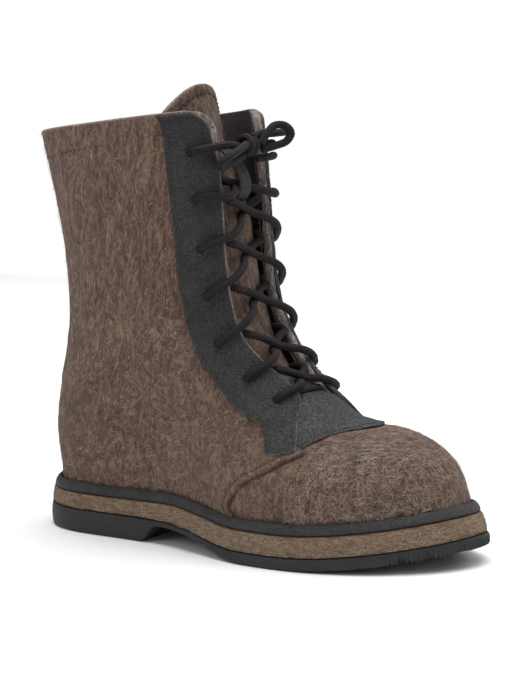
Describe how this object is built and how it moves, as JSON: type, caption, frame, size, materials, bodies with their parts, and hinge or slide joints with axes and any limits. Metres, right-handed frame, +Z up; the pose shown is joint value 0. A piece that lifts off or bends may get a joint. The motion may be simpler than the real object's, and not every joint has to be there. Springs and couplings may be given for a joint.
{
  "type": "felt boot",
  "caption": "Right lace-up ankle boot of thick wool felt with leather facings, a felt midsole and a rubber sole, open at the collar for a foot.",
  "frame": {"origin": "on the floor under the middle lug of the heel", "axes": "+X from the heel to the toe, +Y to the wearer's left, which is the inner side of this right boot, +Z up"},
  "size_m": [0.2937, 0.1145, 0.2768],
  "materials": {
    "black_rubber": "matt moulded rubber",
    "pressed_felt": "coarse pressed wool felt",
    "slate_leather": "grained leather with a low sheen",
    "insole_board": "felt insole",
    "grey_brown_felt": "thick wool felt with light and dark fibres",
    "dark_lace": "round woven lace"
  },
  "bodies": {
    "root": {"outsole": "black_rubber", "midsole": "pressed_felt", "welt": "slate_leather", "insole": "insole_board", "upper": "grey_brown_felt", "tongue": "grey_brown_felt", "lateral_facing": "slate_leather", "medial_facing": "slate_leather", "throat_gusset": "slate_leather", "lace_keeper": "slate_leather", "lace_bar": "dark_lace", "lace_cross_1": "dark_lace", "lace_cross_2": "dark_lace", "lace_cross_3": "dark_lace", "lace_cross_4": "dark_lace", "lace_cross_5": "dark_lace", "lace_cross_6": "dark_lace", "lace_knot": "dark_lace", "lace_tie_lateral": "dark_lace", "lace_tie_medial": "dark_lace", "lace_loop_lateral": "dark_lace", "lace_loop_medial": "dark_lace", "lace_end_lateral": "dark_lace", "lace_end_medial": "dark_lace"}
  },
  "joints": []
}
